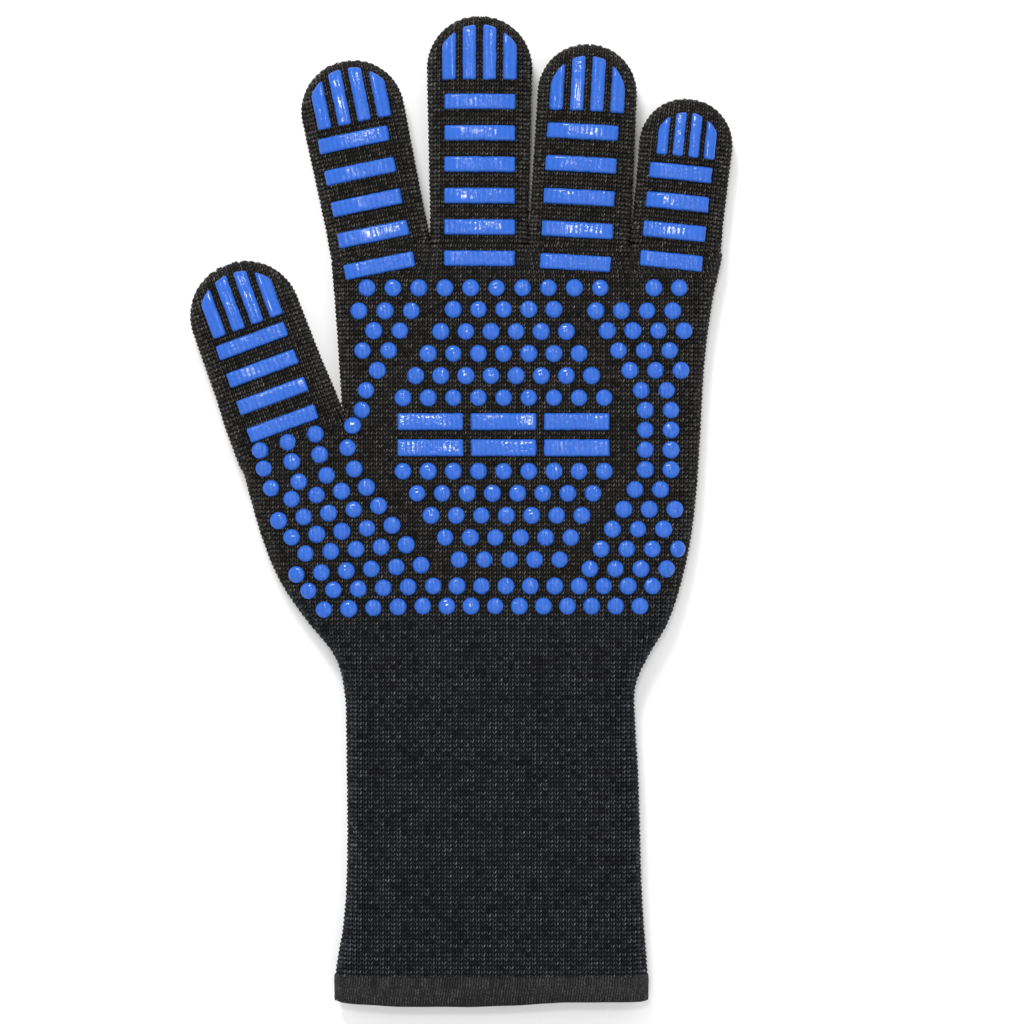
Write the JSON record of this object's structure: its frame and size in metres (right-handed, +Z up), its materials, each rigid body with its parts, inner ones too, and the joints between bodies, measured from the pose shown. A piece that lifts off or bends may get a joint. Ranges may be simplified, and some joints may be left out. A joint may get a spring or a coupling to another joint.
{
  "type": "heat resistant glove",
  "caption": "Long-cuff heat resistant glove of black knit with raised blue silicone grips, lying palm up, with hinged finger joints, thumb and wrist",
  "frame": {"origin": "on the ground under the middle of the glove as it lies palm up", "axes": "+Z up out of the printed palm side, +Y towards the fingertips, +X towards the little finger"},
  "size_m": [0.1872, 0.34, 0.0159],
  "materials": {
    "aramid_knit": "black heat resistant knit, matt with fine light flecks",
    "cotton_liner": "soft brushed cotton knit, dark grey, matt",
    "silicone": "glossy blue silicone",
    "hem_knit": "dense overlocked edge, dark grey, matt",
    "hem_thread": "twisted polyester sewing thread, grey"
  },
  "bodies": {
    "hand": {"hand_shell": "aramid_knit", "hand_liner": "cotton_liner", "palm_dots": "silicone", "palm_bars": "silicone", "finger_base_dots": "silicone", "thumb_ball_dots": "silicone", "knuckle_bars": "silicone"},
    "cuff": {"cuff_shell": "aramid_knit", "cuff_liner": "cotton_liner", "cuff_hem": "hem_knit", "hem_thread": "hem_thread"},
    "index_proximal": {"index_proximal_shell": "aramid_knit", "index_proximal_liner": "cotton_liner", "index_proximal_grips": "silicone"},
    "index_middle": {"index_middle_shell": "aramid_knit", "index_middle_liner": "cotton_liner", "index_middle_grips": "silicone"},
    "index_tip": {"index_tip_shell": "aramid_knit", "index_tip_liner": "cotton_liner", "index_tip_grips": "silicone"},
    "middle_proximal": {"middle_proximal_shell": "aramid_knit", "middle_proximal_liner": "cotton_liner", "middle_proximal_grips": "silicone"},
    "middle_middle": {"middle_middle_shell": "aramid_knit", "middle_middle_liner": "cotton_liner", "middle_middle_grips": "silicone"},
    "middle_tip": {"middle_tip_shell": "aramid_knit", "middle_tip_liner": "cotton_liner", "middle_tip_grips": "silicone"},
    "ring_proximal": {"ring_proximal_shell": "aramid_knit", "ring_proximal_liner": "cotton_liner", "ring_proximal_grips": "silicone"},
    "ring_middle": {"ring_middle_shell": "aramid_knit", "ring_middle_liner": "cotton_liner", "ring_middle_grips": "silicone"},
    "ring_tip": {"ring_tip_shell": "aramid_knit", "ring_tip_liner": "cotton_liner", "ring_tip_grips": "silicone"},
    "little_proximal": {"little_proximal_shell": "aramid_knit", "little_proximal_liner": "cotton_liner", "little_proximal_grips": "silicone"},
    "little_middle": {"little_middle_shell": "aramid_knit", "little_middle_liner": "cotton_liner", "little_middle_grips": "silicone"},
    "little_tip": {"little_tip_shell": "aramid_knit", "little_tip_liner": "cotton_liner", "little_tip_grips": "silicone"},
    "thumb_proximal": {"thumb_proximal_shell": "aramid_knit", "thumb_proximal_liner": "cotton_liner", "thumb_proximal_grips": "silicone"},
    "thumb_tip": {"thumb_tip_shell": "aramid_knit", "thumb_tip_liner": "cotton_liner", "thumb_tip_grips": "silicone"}
  },
  "joints": [
    {"name": "wrist_bend", "type": "hinge", "parent": "hand", "child": "cuff", "pos_m": [0.01, -0.0506, 0.0075], "axis": [-1, 0, 0], "range_deg": [-30, 45]},
    {"name": "index_knuckle", "type": "hinge", "parent": "hand", "child": "index_proximal", "pos_m": [-0.0277, 0.0891, 0.013], "axis": [0.9797, 0.2004, 0], "range_deg": [0, 70]},
    {"name": "index_middle_joint", "type": "hinge", "parent": "index_proximal", "child": "index_middle", "pos_m": [-0.03213, 0.11075, 0.013], "axis": [0.9797, 0.2004, 0], "range_deg": [0, 80]},
    {"name": "index_tip_joint", "type": "hinge", "parent": "index_middle", "child": "index_tip", "pos_m": [-0.03626, 0.13093, 0.013], "axis": [0.9797, 0.2004, 0], "range_deg": [0, 40]},
    {"name": "middle_knuckle", "type": "hinge", "parent": "hand", "child": "middle_proximal", "pos_m": [0.0061, 0.0913, 0.013], "axis": [1, -0.0033, 0], "range_deg": [0, 50]},
    {"name": "middle_middle_joint", "type": "hinge", "parent": "middle_proximal", "child": "middle_middle", "pos_m": [0.00621, 0.1237, 0.013], "axis": [1, -0.0033, 0], "range_deg": [0, 80]},
    {"name": "middle_tip_joint", "type": "hinge", "parent": "middle_middle", "child": "middle_tip", "pos_m": [0.00628, 0.145, 0.013], "axis": [1, -0.0033, 0], "range_deg": [0, 40]},
    {"name": "ring_knuckle", "type": "hinge", "parent": "hand", "child": "ring_proximal", "pos_m": [0.0406, 0.09, 0.013], "axis": [0.9985, -0.0543, 0], "range_deg": [0, 70]},
    {"name": "ring_middle_joint", "type": "hinge", "parent": "ring_proximal", "child": "ring_middle", "pos_m": [0.04183, 0.11257, 0.013], "axis": [0.9985, -0.0543, 0], "range_deg": [0, 80]},
    {"name": "ring_tip_joint", "type": "hinge", "parent": "ring_middle", "child": "ring_tip", "pos_m": [0.04301, 0.13423, 0.013], "axis": [0.9985, -0.0543, 0], "range_deg": [0, 40]},
    {"name": "little_knuckle", "type": "hinge", "parent": "hand", "child": "little_proximal", "pos_m": [0.0739, 0.09, 0.013], "axis": [0.9946, -0.104, 0], "range_deg": [0, 70]},
    {"name": "little_middle_joint", "type": "hinge", "parent": "little_proximal", "child": "little_middle", "pos_m": [0.07496, 0.10014, 0.013], "axis": [0.9946, -0.104, 0], "range_deg": [0, 80]},
    {"name": "little_tip_joint", "type": "hinge", "parent": "little_middle", "child": "little_tip", "pos_m": [0.07697, 0.11934, 0.013], "axis": [0.9946, -0.104, 0], "range_deg": [0, 40]},
    {"name": "thumb_base_joint", "type": "hinge", "parent": "hand", "child": "thumb_proximal", "pos_m": [-0.0626, 0.034, 0.013], "axis": [0.9374, 0.3483, 0], "range_deg": [0, 55]},
    {"name": "thumb_tip_joint", "type": "hinge", "parent": "thumb_proximal", "child": "thumb_tip", "pos_m": [-0.06963, 0.05294, 0.013], "axis": [0.9374, 0.3483, 0], "range_deg": [0, 70]}
  ],
  "couplings": [
    {"joint": "index_tip_joint", "follows": "index_middle_joint", "ratio": 0.5},
    {"joint": "middle_tip_joint", "follows": "middle_middle_joint", "ratio": 0.5},
    {"joint": "ring_tip_joint", "follows": "ring_middle_joint", "ratio": 0.5},
    {"joint": "little_tip_joint", "follows": "little_middle_joint", "ratio": 0.5}
  ]
}
